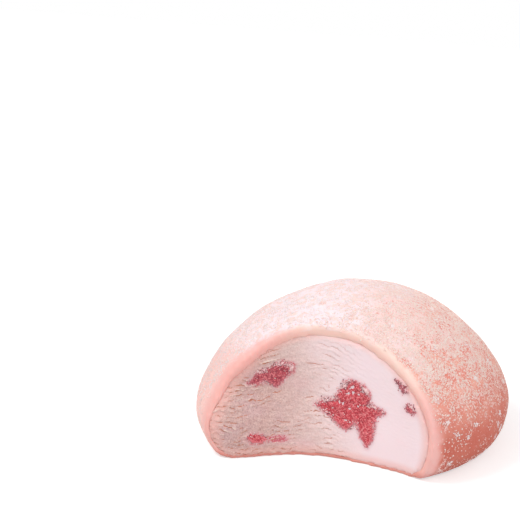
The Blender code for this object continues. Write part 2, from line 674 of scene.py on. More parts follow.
# ----------------------------------------------------------------------------- finishes


@dataclass(frozen=True)
class DoughFinish:
    """Soft rice dough, pale where powder lies and salmon where it is bare."""

    bare: tuple = srgb(250, 174, 156)
    deep: tuple = srgb(238, 144, 128)
    # Painted shade, laid low on the right side and along the rim's foot.
    low: tuple = srgb(196, 96, 78)
    fair: tuple = srgb(254, 202, 194)
    thin: tuple = srgb(253, 206, 200)
    rim: tuple = srgb(243, 186, 180)
    inner: tuple = srgb(246, 184, 173)
    # Painted light: the rim's colours lighter on its top.
    rim_top_painted_light: tuple = srgb(255, 219, 207)
    inner_rim_top_painted_light: tuple = srgb(255, 205, 192)
    left_rim: tuple = srgb(243, 179, 171)
    powder_cool: tuple = srgb(253, 230, 234)
    powder_warm: tuple = srgb(253, 217, 211)
    powder_cream: tuple = srgb(254, 216, 210)
    grain: float = 0.32
    patch: float = 1.4
    drift: float = 4.0
    dry: float = 0.85
    moist: float = 0.45

    def bare_dough(self, graph: Graph, fine: NodeSocket,
                   broad: NodeSocket) -> NodeSocket:
        """The bare dough's colour, with painted shade low on one side and fairer on the
        other.

        Args:
            graph: The finish's graph.
            fine: Fine noise.
            broad: Broad noise.

        Returns:
            The colour's socket.
        """
        tone = graph.blend(graph.span(broad, 0.35, 0.65), self.bare, self.deep)
        tone = graph.blend(
            graph.span(fine, 0.42, 0.66, 0.0, 0.28), tone, self.powder_cream)
        # Painted shade, darker and redder low on the right side where the light falls
        # less.
        tone = graph.blend(graph.times(graph.attribute("low"), 0.85), tone, self.low)
        tone = graph.blend(graph.attribute("fair"), tone, self.fair)
        thick = graph.span(graph.attribute("cover"), 0.55, 0.95)
        return graph.blend(thick, tone, self.thin)

    def powder(self, graph: Graph, patch: NodeSocket, broad: NodeSocket) -> NodeSocket:
        """The powder's colour: cool where it lies thick, cream where it is thin.

        Args:
            graph: The finish's graph.
            patch: Noise of the powder's patches.
            broad: Broad noise.

        Returns:
            The colour's socket.
        """
        cover = graph.attribute("cover")
        patches = graph.plus(patch, graph.times(cover, -0.12))
        tone = graph.blend(
            graph.span(patches, 0.36, 0.52), self.powder_cool, self.powder_warm)
        drift = graph.times_plus(
            patch, 0.8, graph.plus(graph.attribute("fair"), cover))
        drift = graph.plus(graph.times(broad, 1.2), drift)
        return graph.blend(graph.span(drift, 2.3, 1.5), tone, self.powder_cream)

    def lip(self, graph: Graph) -> NodeSocket:
        """The bare rim's colour, deeper towards the ice cream, with painted light on
        its top and painted shade at its foot.

        Args:
            graph: The finish's graph.

        Returns:
            The colour's socket.
        """
        inner = graph.attribute("inner")
        tone = graph.blend(inner, self.rim, self.inner)
        tone = graph.blend(graph.attribute("fair"), tone, self.left_rim)
        # Painted light on the rim's top, then painted shade at its foot.
        top = graph.blend(inner, self.rim_top_painted_light, self.inner_rim_top_painted_light)
        tone = graph.blend(graph.attribute("rim_top_painted_light"), tone, top)
        return graph.blend(graph.attribute("foot"), tone, self.low)

    def build(self) -> Material:
        """Makes the material.

        Returns:
            The dough's material.
        """
        made, graph, shader = new_material("dough_skin")
        where = graph.place()
        fine = graph.speckle(where, self.grain, 2.0, 0.6)
        patch = graph.speckle(where, self.patch, 2.0, 0.55)
        broad = graph.speckle(where, self.drift, 1.0, 0.5)
        rim = graph.attribute("rim")
        level = graph.plus(
            graph.times_plus(fine, 1.5, -0.75), graph.times_plus(patch, 0.9, -0.45))
        dusted = graph.span(graph.plus(graph.attribute("cover"), level), 0.36, 0.64)
        skin = graph.blend(
            dusted, self.bare_dough(graph, fine, broad),
            self.powder(graph, patch, broad))
        edge = graph.span(
            graph.plus(rim, graph.times_plus(patch, 0.8, -0.4)), 0.0, 1.0)
        graph.feed(graph.blend(edge, skin, self.lip(graph)), shader, "Base Color")
        rough = graph.span(edge, 0.0, 1.0, self.dry, self.moist)
        graph.feed(rough, shader, "Roughness")
        height = graph.times(
            graph.plus(dusted, graph.times(fine, 0.8)),
            graph.math("SUBTRACT", 1.0, rim))
        graph.dent(shader, height, 0.5, 0.1)
        let_light_in(shader, 0.3, (1.0, 0.45, 0.35), 1.5)
        return made


@dataclass(frozen=True)
class IceCreamFinish:
    """Pale pink ice cream, greyer and torn on one side, smooth on the other, with
    painted shade in its cracks and painted highlights on their lips.
    """

    smooth: tuple = srgb(251, 228, 232)
    torn: tuple = srgb(218, 184, 175)
    pale: tuple = srgb(240, 212, 204)
    shade: tuple = srgb(193, 151, 145)
    dim: tuple = srgb(217, 182, 175)
    pit: tuple = srgb(164, 122, 120)
    # Crack: a peach tint deepened with painted shade under each layer's step. Lip: a
    # painted highlight on each layer's edge.
    crack: tuple = srgb(198, 122, 96)
    lip: tuple = srgb(250, 226, 212)
    stain: tuple = srgb(206, 104, 116)
    blush: tuple = srgb(240, 190, 196)
    lilac: tuple = srgb(206, 168, 171)
    border: tuple = srgb(240, 184, 175)
    streak: float = 0.34
    grain: float = 0.3
    speck: float = 0.24
    drift: float = 3.6
    roughness: float = 0.6

    def torn_side(self, graph: Graph, rough: NodeSocket, streak: NodeSocket,
                  fine: NodeSocket) -> NodeSocket:
        """The torn side's colour: mottled, with lilac shade, pale specks and pits.

        Args:
            graph: The finish's graph.
            rough: How torn the face is.
            streak: Noise along the grain.
            fine: Fine noise.

        Returns:
            The colour's socket.
        """
        shade = graph.attribute("shade")
        mottle = graph.span(
            graph.times_plus(fine, 0.5, graph.times(streak, 0.5)), 0.36, 0.64)
        light = graph.blend(mottle, self.torn, self.pale)
        dim = graph.blend(mottle, self.shade, self.dim)
        tone = graph.blend(shade, light, dim)
        hue = graph.speckle(graph.place(), self.drift, 1.0, 0.5)
        hue = graph.times(graph.span(hue, 0.42, 0.68, 0.0, 0.45), shade)
        tone = graph.blend(hue, tone, self.lilac)
        speck = frost(graph, self.speck).outputs["Grain"]
        tone = graph.blend(graph.span(speck, 0.44, 0.34, 0.0, 0.55), tone, self.pale)
        pits = graph.times(
            graph.span(speck, 0.54, 0.66),
            graph.larger(shade, graph.times(rough, 0.45)))
        return graph.blend(graph.times(pits, 0.7), tone, self.pit)

    def build(self) -> Material:
        """Makes the material.

        Returns:
            The ice cream's material.
        """
        made, graph, shader = new_material("ice_cream")
        streak = frost(graph, self.streak, 2.6).outputs["Grain"]
        fine = frost(graph, self.grain).outputs["Grain"]
        rough = graph.attribute("rough")
        crack = graph.attribute("crack")
        stain = graph.attribute("stain")
        tone = graph.blend(
            rough, self.smooth, self.torn_side(graph, rough, streak, fine))
        tone = graph.blend(graph.times(stain, 0.7), tone, self.blush)
        level = graph.plus(stain, graph.times_plus(fine, 2.0, -1.0))
        tone = graph.blend(graph.span(level, 0.55, 0.85), tone, self.stain)
        tone = graph.blend(
            graph.times(graph.attribute("border"), 0.7), tone, self.border)
        # Painted shade in the cracks over their peach tint, then a painted highlight on
        # the lips.
        tone = graph.blend(graph.span(crack, 0.05, 0.7, 0.0, 0.85), tone, self.crack)
        tone = graph.blend(graph.span(crack, -0.1, -0.7, 0.0, 0.7), tone, self.lip)
        graph.feed(tone, shader, "Base Color")
        shader.inputs["Roughness"].default_value = self.roughness
        height = graph.times(
            graph.plus(streak, fine), graph.span(rough, 0.0, 1.0, 0.08, 1.0))
        graph.dent(shader, height, 0.6, 0.12)
        let_light_in(shader, 0.2, (1.0, 0.6, 0.5), 1.2)
        return made


@dataclass(frozen=True)
class StrawberryFinish:
    """Frozen strawberry: red flesh of fine grains, frosted at its edges."""

    flesh: tuple = srgb(202, 58, 70)
    dark: tuple = srgb(160, 32, 48)
    light: tuple = srgb(232, 132, 136)
    ice: tuple = srgb(236, 196, 196)
    soft: tuple = srgb(226, 132, 140)
    dusk: tuple = srgb(122, 56, 74)
    cell: float = 0.18
    grain: float = 0.26
    drift: float = 1.5
    roughness: float = 0.5

    def build(self) -> Material:
        """Makes the material.

        Returns:
            The strawberry's material.
        """
        made, graph, shader = new_material("strawberry")
        cell = frost(graph, self.cell).outputs["Cell"]
        fine = frost(graph, self.grain).outputs["Grain"]
        broad = graph.speckle(graph.place(), self.drift, 1.0, 0.5)
        edge = graph.attribute("edge")
        red = graph.blend(graph.span(broad, 0.4, 0.62, 0.0, 0.4), self.flesh, self.dark)
        red = graph.blend(graph.span(cell, 0.5, 0.95), red, self.light)
        red = graph.blend(graph.span(cell, 0.3, 0.08), red, self.dark)
        red = graph.blend(graph.attribute("rim"), red, self.soft)
        chill = graph.larger(graph.attribute("dusk"), graph.span(
            edge, 0.25, 0.6, 0.0, 0.85))
        dusk = graph.times(chill, graph.span(cell, 0.9, 0.3, 0.2, 1.0))
        red = graph.blend(dusk, red, self.dusk)
        level = graph.plus(edge, graph.times_plus(fine, 1.8, -0.9))
        colour = graph.blend(graph.span(level, 0.52, 0.72), red, self.ice)
        graph.feed(colour, shader, "Base Color")
        shader.inputs["Roughness"].default_value = self.roughness
        graph.dent(shader, fine, 0.6, 0.12)
        return made


@dataclass(frozen=True)
class CrumbFinish:
    """Small loose bits whose tone runs from one colour to another."""

    name: str
    first: tuple
    second: tuple
    roughness: float = 0.9

    def build(self) -> Material:
        """Makes the material.

        Returns:
            The loose bits' material.
        """
        made, graph, shader = new_material(self.name)
        tone = graph.attribute("tone")
        colour = graph.blend(tone, self.first, self.second)
        graph.feed(colour, shader, "Base Color")
        shader.inputs["Roughness"].default_value = self.roughness
        return made


# ------------------------------------------------------------------------------- pieces


def dress(made: Object, finish: Material,
          node: Optional[str] = None) -> None:
    """Gives a finished piece its material, its body and the node it stands for.

    Args:
        made: The piece.
        finish: Its material.
        node: The plain node that it stands for, where it has one.
    """
    made.data.materials.append(finish)
    made.data.shade_smooth()
    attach(made, "root")
    if node:
        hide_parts(node)
    LOG.info("%s: %d faces", made.name, len(made.data.polygons))


@dataclass
class DoughSkin:
    """The dough round the ice cream, with its soft bitten rim."""

    side: float = 1.6
    top: float = 2.4
    floor: float = 0.65
    offset: float = -0.5
    voxel: float = 0.45
    lip: float = 0.07
    room: float = 0.12
    arch: float = 1.9
    sill: float = 1.3
    sill_reach: float = 1.2
    refined: float = 1.3

    def on_arch(self, vert: BMVert) -> bool:
        """Whether a point is on the rim above the sill, which is the roundest."""
        return BITE.depth(vert.co) < self.arch and vert.co.z > self.sill * MM

    def on_sill(self, vert: BMVert) -> bool:
        """Whether a point is on the rim's thin sill."""
        return BITE.depth(vert.co) < self.sill_reach and vert.co.z <= self.sill * MM

    def unevenness(self, point: Vector) -> float:
        """How far the hand-closed dough swells at a point, in millimetres.

        Args:
            point: The point, in metres.

        Returns:
            The swell, or under 0 a hollow.
        """
        x, y, z = point / MM
        swell = 0.35 * ripple(x, y, z, 13.0, 3.1) + 0.12 * ripple(x, y, z, 4.5, 7.7)
        lip = self.lip * (1.0 - smoothstep(0.6, 2.8, BITE.depth(point)))
        lip *= 2.0 * smoothstep(0.93, 1.0, DOME.share(point)) - 1.0
        return (swell + lip) * smoothstep(0.4, 4.0, z)

    def cover(self, point: Vector) -> float:
        """How thickly powder lies at a point, from 0 to 1.

        Args:
            point: The point, in metres.

        Returns:
            The powder's thickness.
        """
        x, y, z = point / MM
        high = smoothstep(5.0, 25.0, z)
        right = smoothstep(-4.0, 18.0, x)
        side = self.outline_share(x, y, z)
        left = smoothstep(-7.0, -19.0, x)
        thick = 0.14 + 0.8 * high * (1.0 - 0.48 * right) * (1.0 - 0.25 * left)
        thick += 0.25 * (1.0 - right) * side * smoothstep(11.0, 20.0, z) * (1.0 - left)
        ring = smoothstep(1.6, 2.4, BITE.depth(point)) * (
            1.0 - smoothstep(3.0, 5.5, BITE.depth(point)))
        thick += 0.15 * ring * smoothstep(10.0, 20.0, z) * (1.0 - left)
        thick += 0.3 * ring * (1.0 - smoothstep(4.0, 7.0, z)) * right
        return thick + 0.15 * ripple(x, y, z, 6.0, 1.3)

    @staticmethod
    def outline_share(x: float, y: float, z: float) -> float:
        """Zero at the dome's axis and one near its widest line."""
        return smoothstep(6.0, 20.0, math.hypot(x, y)) * smoothstep(26.0, 16.0, z)

    def outer(self, point: Vector) -> float:
        """One on the dough's outer side above its base, zero elsewhere.

        Args:
            point: The point, in metres.

        Returns:
            One or zero.
        """
        x, y, z = point / MM
        radius = math.hypot(x, y)
        share = min(max((z - DOME.widest) / (DOME.height - DOME.widest), 0.0), 1.0)
        limit = DOME.radius * (1.0 - share ** DOME.fullness) ** (1.0 / DOME.fullness)
        if z < DOME.widest:
            return float(z > 0.5 and radius > DOME.base - 0.6)
        return float(radius > limit - 1.0 or z > DOME.height - 1.4)

    def rim(self, point: Vector) -> float:
        """One on the bare bitten rim, easing to zero on the powdered outside.

        Args:
            point: The point, in metres.

        Returns:
            The rim's share.
        """
        x, y, z = point / MM
        wave = 0.35 * ripple(x, y, z, 2.5, 5.0)
        flank = smoothstep(8.0, 20.0, abs(x))
        left = smoothstep(-3.0, -15.0, x)
        low_right = smoothstep(8.0, 20.0, x) * smoothstep(18.0, 7.0, z)
        width = 0.9 + 1.6 * flank + 1.9 * left + 0.9 * low_right
        rim = 1.0 - smoothstep(-0.3, width, BITE.depth(point) + 1.3 * wave)
        return max(rim, 1.0 - smoothstep(0.955, 0.985, DOME.share(point)))

    def marks(self, point: Vector) -> dict[str, float]:
        """Where a point lies on the skin, as the shares that the finish reads.

        Args:
            point: The point, in metres.

        Returns:
            The shares by name.
        """
        x, _, z = point / MM
        return {
            "outer": self.outer(point),
            "rim": self.rim(point),
            "inner": 1.0 - smoothstep(0.93, 1.0, DOME.share(point)),
            # The low mark is painted shade, low on the right side away from the rim.
            "low": (smoothstep(17.0, 5.0, z) * smoothstep(4.0, 16.0, x)
                    * smoothstep(-1.0, 3.5, BITE.depth(point))),
            "fair": smoothstep(10.0, -16.0, x),
            # The foot mark is painted shade at the dough's foot, and the next mark is
            # painted light on the rim's top.
            "foot": 0.6 * smoothstep(2.2, 0.5, z),
            "rim_top_painted_light": smoothstep(13.0, 20.0, z) * smoothstep(-12.0, -1.0, x),
            "cover": self.cover(point)}

    def build(self, finish: Material) -> Object:
        """Models the skin.

        Args:
            finish: The dough's material.

        Returns:
            The finished piece.
        """
        body = turned(DOME.profile(self.room, self.room, 0.0))
        cavity = turned(
            DOME.profile(self.side, self.top, self.floor), self.offset * MM)
        bm = carved(body, [cavity, bite_block()], self.voxel)
        relax(bm, 3)
        refine(bm, lambda face: BITE.depth(face.calc_center_median()) < self.refined, 1)
        relax(bm, 1)
        soften(bm, self.on_arch, 26)
        soften(bm, self.on_sill, 6)
        bm.normal_update()
        moves = [self.unevenness(vert.co) for vert in bm.verts]
        for vert, move in zip(bm.verts, moves):
            vert.co += vert.normal * move * MM
        bm.normal_update()
        marks = [self.marks(vert.co) for vert in bm.verts]
        SLUMP.settle(bm)
        made = to_object("dough_skin", bm)
        store_marks(made.data, marks)
        dress(made, finish, "mochi_skin")
        return made


@dataclass
class IceCream:
    """The filling and its torn bite face."""

    reach: float = 0.35
    recess: float = 0.12
    voxel: float = 0.6
    skin: DoughSkin = field(default_factory=DoughSkin)
    layer: float = 0.82
    refined: float = 0.9
    fall: float = math.radians(-24.0)
    rise: float = math.radians(5.0)
    lip: float = 0.15
    crack: float = 0.12
    fruit: Sequence[Sequence[tuple[float, float]]] = ()
    stains: Sequence[tuple[float, float, float, float, float]] = (
        (-8.8, 3.2, 3.6, 1.4, 0.86), (-4.5, 2.3, 3.8, 1.4, 0.34),
        (-11.0, 15.0, 6.0, 2.4, 0.42), (-12.8, 3.7, 2.8, 1.5, 0.6),
        (15.6, 12.6, 1.6, 2.2, 0.3), (-5.5, 13.6, 3.5, 2.0, 0.25))

    def torn(self, x: float, z: float) -> float:
        """How torn the face is at a place, from 0, smooth, to 1.

        Args:
            x: Place across, in millimetres.
            z: Height, in millimetres.

        Returns:
            How torn it is.
        """
        wander = 3.0 * ripple(x, 0.0, z, 7.0, 2.2)
        side = 1.0 - smoothstep(-11.0, 9.0, x + wander + 0.15 * (z - 12.0))
        return 0.04 + 0.96 * side

    def flow(self, x: float, z: float) -> tuple[float, float]:
        """Coordinates along and across the grain of the scooped ice cream.

        Args:
            x: Place across, in millimetres.
            z: Height, in millimetres.

        Returns:
            Both coordinates, in millimetres.
        """
        slope = self.fall * smoothstep(-14.0, 4.0, x) * smoothstep(6.0, 18.0, z)
        slope += self.rise * smoothstep(0.0, -16.0, x)
        along = x * math.cos(slope) + z * math.sin(slope)
        return along, z * math.cos(slope) - x * math.sin(slope)

    def relief(self, x: float, z: float) -> tuple[float, float]:
        """Height of the face in millimetres, and the share of painted shade in a crack,
        up to 1, or under 0 of a painted highlight on its lip.

        Args:
            x: Place across, in millimetres.
            z: Height, in millimetres.

        Returns:
            The height and the share of painted crack shade and lip highlight.
        """
        torn = self.torn(x, z)
        along, across = self.flow(x, z)
        wave = across + 0.8 * ripple(along, 0.0, across * 0.5, 5.0, 4.0)
        wave += 0.42 * ripple(along, 3.0, across, 1.6, 1.0)
        wave += 0.22 * ripple(along, 6.0, across, 0.6, 2.0)
        layer, share = divmod(wave / self.layer, 1.0)
        gate = smoothstep(-0.14, 0.12, ripple(along, layer * 3.7, 0.0, 1.5, 5.5))
        gate *= smoothstep(-0.45, 0.1, ripple(x, 8.0, z, 6.0, 3.5)) * torn ** 0.6
        under = smoothstep(0.76, 0.9, share)
        lip = 1.0 - smoothstep(0.0, 0.5, share)
        low = ripple(along * 0.4, 0.0, across, 1.3, 4.0)
        mid = ripple(along * 0.6, 5.0, across, 0.6, 1.0)
        fine = ripple(x, 2.0, z, 0.36, 8.0)
        height = torn * (0.10 * low + 0.07 * mid + 0.06 * fine)
        height += gate * (self.lip * lip - self.crack * under)
        height += 0.06 * ripple(x, 1.0, z, 6.0, 2.0)
        # Over 0 this marks painted shade in the crack, under 0 a painted highlight on
        # the lip.
        return height, gate * (under - 0.8 * lip ** 3)

    def stain(self, x: float, z: float) -> float:
        """How pink the strawberry's juice has made a place, from 0 to 1.

        Args:
            x: Place across, in millimetres.
            z: Height, in millimetres.

        Returns:
            The stain's share.
        """
        best = 0.0
        for mid_x, mid_z, wide, tall, depth in self.stains:
            away = math.hypot((x - mid_x) / wide, (z - mid_z) / tall)
            best = max(best, depth * (1.0 - smoothstep(0.2, 1.1, away)))
        for outline in self.fruit:
            if nearby(outline, x, z, 1.6):
                near = 1.0 - smoothstep(0.0, 1.0, off_side(outline, x, z))
                best = max(best, 0.6 * near)
        return best

    def build(self, finish: Material) -> Object:
        """Models the filling.

        Args:
            finish: The ice cream's material.

        Returns:
            The finished piece.
        """
        skin = self.skin
        body = turned(DOME.profile(
            skin.side - self.reach, skin.top - self.reach, skin.floor - self.reach),
            skin.offset * MM)
        bm = carved(body, [bite_block(self.recess)], self.voxel)
        relax(bm, 2)
        refine(bm, lambda face: BITE.depth(face.calc_center_median()) < self.refined, 3)
        bm.normal_update()
        marks = []
        for vert in bm.verts:
            x, _, z = vert.co / MM
            share = 1.0 - smoothstep(0.8, 1.6, BITE.depth(vert.co))
            height, crack = self.relief(x, z) if share > 0.0 else (0.0, 0.0)
            vert.co.y -= height * share * MM
            border = max(smoothstep(0.87, 0.945, DOME.share(vert.co)),
                         0.8 * smoothstep(2.4, 1.0, z))
            # The crack mark carries painted shade in cracks and, under 0, painted
            # highlights on their lips.
            marks.append({
                "rough": self.torn(x, z),
                "crack": crack * share,
                "stain": self.stain(x, z) * share,
                "shade": smoothstep(3.0, -15.0, x) * smoothstep(26.0, 12.0, z),
                "border": border * share})
        SLUMP.settle(bm)
        made = to_object("ice_cream_filling", bm)
        store_marks(made.data, marks)
        dress(made, finish, "ice_cream")
        return made


def off_side(outline: Sequence[tuple[float, float]], x: float, z: float) -> float:
    """Distance from a place to the nearest side of an outline, in millimetres.

    Args:
        outline: The outline's corners, in millimetres.
        x: Place across, in millimetres.
        z: Height, in millimetres.

    Returns:
        The distance.
    """
    best = 100.0
    for index, (x2, z2) in enumerate(outline):
        x1, z1 = outline[index - 1]
        dx, dz = x2 - x1, z2 - z1
        share = ((x - x1) * dx + (z - z1) * dz) / (dx * dx + dz * dz)
        share = min(max(share, 0.0), 1.0)
        best = min(best, math.hypot(x - x1 - share * dx, z - z1 - share * dz))
    return best


def nearby(outline: Sequence[tuple[float, float]], x: float, z: float,
           reach: float) -> bool:
    """Whether a place lies inside an outline's box, widened by a reach.

    Args:
        outline: The outline's corners, in millimetres.
        x: Place across, in millimetres.
        z: Height, in millimetres.
        reach: How far the box is widened.

    Returns:
        True where it lies inside.
    """
    across = [corner[0] for corner in outline]
    height = [corner[1] for corner in outline]
    return (min(across) - reach < x < max(across) + reach
            and min(height) - reach < z < max(height) + reach)


@dataclass
class StrawberryPiece:
    """One piece of frozen strawberry set in the bite face."""

    node: str
    outline: Sequence[tuple[float, float]]
    depth: float
    frosted: float = 0.5
    dusk: float = 0.0
    proud: float = 0.15
    voxel: float = 0.16

    def build(self, finish: Material) -> Object:
        """Models the piece.

        Args:
            finish: The strawberry's material.

        Returns:
            The finished piece.
        """
        bm = bmesh.new()
        face = bm.faces.new(
            [bm.verts.new((x * MM, 0.0, z * MM)) for x, z in self.outline])
        middle = sum((vert.co for vert in face.verts), Vector()) / len(self.outline)
        grown = bmesh.ops.extrude_face_region(bm, geom=[face])["geom"]
        back = [item for item in grown if isinstance(item, BMVert)]
        for vert in back:
            vert.co = middle + (vert.co - middle) * 0.72
            vert.co.y = self.depth * MM
        bmesh.ops.recalc_face_normals(bm, faces=bm.faces)
        bm = carved(bm, [], self.voxel)
        relax(bm, 1, False)
        bm.normal_update()
        marks = []
        for vert in bm.verts:
            x, y, z = vert.co / MM
            lump = 0.22 * ripple(x, y, z, 0.8, 3.0) + 0.16 * ripple(x, y, z, 0.36, 6.0)
            vert.co += vert.normal * lump * MM
            marks.append({
                "edge": self.frost(x, z), "rim": self.glow(x, z), "dusk": self.dusk})
        for vert in bm.verts:
            x, y, z = vert.co / MM
            sunk = self.frosted * self.height_share(z) ** 2 * (
                0.1 + 0.5 * ripple(x, 9.0, z, 0.62, 1.5))
            vert.co.y += (BITE.wall(x, z) - self.proud + sunk) * MM
        SLUMP.settle(bm)
        made = to_object(self.node + "_piece", bm)
        store_marks(made.data, marks)
        dress(made, finish, self.node)
        return made

    def frost(self, x: float, z: float) -> float:
        """How frosted the piece is at a place: most near its upper left edge.

        Args:
            x: Place across, in millimetres.
            z: Height, in millimetres.

        Returns:
            The frost's share.
        """
        share = self.height_share(z)
        leftmost = min(corner[0] for corner in self.outline)
        left = 1.0 - smoothstep(leftmost + 2.0, leftmost + 7.0, x)
        near = 1.0 - smoothstep(0.0, 1.3, off_side(self.outline, x, z))
        patchy = 0.65 + 0.9 * ripple(x, 4.0, z, 1.7, 2.5)
        cold = self.frosted * max(share, 0.6 * left)
        return patchy * (near * (0.05 + cold) + 0.45 * self.frosted * share)

    def glow(self, x: float, z: float) -> float:
        """How pink juice makes a place: only near the lower and right edges."""
        near = 1.0 - smoothstep(0.0, 0.55, off_side(self.outline, x, z))
        return 0.8 * near * (1.0 - smoothstep(0.45, 0.8, self.height_share(z)))

    def height_share(self, z: float) -> float:
        """Zero at the piece's foot and one at its top.

        Args:
            z: Height, in millimetres.

        Returns:
            The share.
        """
        lowest = min(corner[1] for corner in self.outline)
        highest = max(corner[1] for corner in self.outline)
        return min(max((z - lowest) / (highest - lowest), 0.0), 1.0)


class Powder(Enum):
    """The kinds of powder on the dough."""

    CREAM = "starch_cream_grains"
    WHITE = "starch_white_grains"
    CLUMP = "starch_clumps"


class Bit(Enum):
    """The kinds of loose bits in the bite face."""

    FRUIT = "strawberry_crumbs"
    DUSK = "dark_strawberry_crumbs"
    ICE = "ice_crystals"


class Heap:
    """Gathers many small grains into one piece."""

    def __init__(self, rng: random.Random) -> None:
        """Starts an empty heap.

        Args:
            rng: Where its chances come from.
        """
        self.rng = rng
        self.places: list[Matrix] = []
        self.tones: list[float] = []

    def grain(self, where: Matrix, size: float, tone: float, flat: float = 0.4) -> None:
        """Adds one uneven eight-sided grain.

        Args:
            where: Its place, with Z out of the surface.
            size: Its width in millimetres.
            tone: Its tone from 0 to 1.
            flat: Its thickness against its width.
        """
        half = size * MM / 2.0
        spin = Matrix.Rotation(self.rng.random() * math.tau, 4, "Z")
        shape = Matrix.Diagonal(
            (half * self.rng.uniform(0.8, 1.6), half * self.rng.uniform(0.7, 1.1),
             half * flat * self.rng.uniform(0.7, 1.2), 1.0))
        self.places.append(where @ spin @ shape)
        self.tones.append(min(max(tone + self.rng.uniform(-0.15, 0.15), 0.0), 1.0))

    def finish(self, name: str, finish: Material, slot: str) -> Object:
        """Turns the heap into one piece.

        Args:
            name: The piece's name.
            finish: Its material.
            slot: Not used.

        Returns:
            The finished piece.
        """
        one = bmesh.new()
        bmesh.ops.create_uvsphere(
            one, u_segments=GRAIN_SIDES, v_segments=GRAIN_RINGS, radius=1.0)
        corners = np.array([tuple(vert.co) for vert in one.verts])
        faces = np.array([[vert.index for vert in face.verts] for face in one.faces])
        one.free()
        places = np.array([[tuple(row) for row in place] for place in self.places])
        points = np.einsum("nij,kj->nki", places[:, :3, :3], corners)
        points += places[:, None, :3, 3]
        rings = faces[None] + len(corners) * np.arange(len(places))[:, None, None]
        mesh = bpy.data.meshes.new(name)
        mesh.from_pydata(
            points.reshape(-1, 3).tolist(), [], rings.reshape(-1, 3).tolist())
        made = bpy.data.objects.new(name, mesh)
        bpy.context.scene.collection.objects.link(made)
        store(made.data, "tone", np.repeat(self.tones, len(corners)))
        dress(made, finish)
        return made


@dataclass
class StarchDusting:
    """Starch powder scattered over the dough."""

    kind: Powder
    count: int
    smallest: float
    largest: float
    seed: int
    cluster: tuple[int, int] = (1, 1)
    spread: float = 0.3

    def wanted(self, point: Vector, rim: float) -> float:
        """Chance that a grain stays at a point.

        Args:
            point: The point, in metres.
            rim: How bare the dough is there.

        Returns:
            The chance from 0 to 1.
        """
        x, y, z = point / MM
        if z < 0.6:
            return 0.0
        bare = 1.0 - smoothstep(0.05, 0.6, rim)
        low_right = (1.0 - smoothstep(8.0, 19.0, z)) * smoothstep(2.0, 16.0, x)
        fair = smoothstep(14.0, -6.0, x)
        if self.kind is Powder.CLUMP:
            near = 1.0 - smoothstep(2.0, 9.0, BITE.depth(point))
            return 0.015 * bare + bare * low_right * (
                0.12 + 0.6 * near * smoothstep(8.0, 4.0, z)) * (
                smoothstep(-0.2, 0.3, ripple(x, y, z, 4.0, 4.4)))
        patchy = 0.2 + 0.8 * smoothstep(-0.3, 0.3, ripple(x, y, z, 1.6, 2.0))
        if self.kind is Powder.WHITE:
            return bare * patchy * fair * smoothstep(5.0, 12.0, z)
        return bare * patchy * (1.0 - 0.9 * low_right) * (1.0 - 0.85 * fair)

    def build(self, skin: Object, finish: Material) -> Object:
        """Scatters the grains.

        Args:
            skin: The dough that they lie on.
            finish: The powder's material.

        Returns:
            The finished piece.
        """
        rng = random.Random(self.seed)
        mesh = skin.data
        rims, outers = kept(mesh, "rim"), kept(mesh, "outer")
        faces = [
            face for face in mesh.polygons
            if all(outers[index] > 0.5 for index in face.vertices)]
        weights = np.cumsum([face.area for face in faces])
        heap = Heap(rng)
        placed = 0
        while placed < self.count:
            pick = int(np.searchsorted(weights, rng.random() * weights[-1]))
            face = faces[min(pick, len(faces) - 1)]
            corners = [mesh.vertices[index] for index in face.vertices]
            shares = [rng.random() + 0.01 for _ in corners]
            total = sum(shares)
            point = sum((c.co * s for c, s in zip(corners, shares)), Vector()) / total
            if rng.random() > self.wanted(point, rims[face.vertices[0]]):
                continue
            turn = face.normal.to_track_quat("Z", "Y").to_matrix().to_4x4()
            tone = rng.random()
            for _ in range(rng.randint(*self.cluster)):
                away = [rng.gauss(0.0, self.spread * MM) for _ in range(2)]
                where = Matrix.Translation(point) @ turn
                where = where @ Matrix.Translation((*away, 0.0))
                heap.grain(where, rng.uniform(self.smallest, self.largest), tone)
            placed += 1
        return heap.finish(self.kind.value, finish, "starch_powder")


@dataclass
class Bits:
    """Loose frozen bits round the strawberry pieces' edges."""

    kind: Bit
    count: int
    smallest: float
    largest: float
    seed: int
    spread: float
    pieces: int
    slot: str = "strawberry"

    def build(self, pieces: Sequence[StrawberryPiece], finish: Material) -> Object:
        """Scatters the bits.

        Args:
            pieces: The strawberry pieces; the first few shed the bits.
            finish: The bits' material.

        Returns:
            The finished piece.
        """
        rng = random.Random(self.seed)
        heap = Heap(rng)
        sides = [
            (Vector((*piece.outline[index - 1], 0.0)), Vector((*corner, 0.0)), piece)
            for piece in pieces[:self.pieces]
            for index, corner in enumerate(piece.outline)]
        weights = np.cumsum([(second - first).length for first, second, _ in sides])
        turn = Vector((0.0, -1.0, 0.0)).to_track_quat("Z", "Y").to_matrix().to_4x4()
        for _ in range(self.count):
            pick = int(np.searchsorted(weights, rng.random() * weights[-1]))
            first, second, piece = sides[min(pick, len(sides) - 1)]
            spot = first.lerp(second, rng.random())
            if self.kind is not Bit.FRUIT:
                across, _, _ = next(side for side in sides if side[2] is piece)
                spot = spot.lerp(across, 0.4 * rng.random())
            x = spot.x + rng.gauss(0.0, self.spread)
            z = spot.y + rng.gauss(0.0, self.spread)
            if self.kind is not Bit.FRUIT:
                if rng.random() > 2.0 * piece.frost(x, z) - 0.2:
                    continue
            place = Vector((x, BITE.wall(x, z) - 0.02, z)) * MM
            heap.grain(
                Matrix.Translation(SLUMP.moved(place)) @ turn,
                rng.uniform(self.smallest, self.largest), rng.random(), 0.5)
        return heap.finish(self.kind.value, finish, self.slot)


# ------------------------------------------------------------------------------- studio


@dataclass(frozen=True)
class Lamp:
    """One soft round lamp: its place and size in metres, its power in watts."""

    name: str
    place: tuple[float, float, float]
    size: float
    power: float


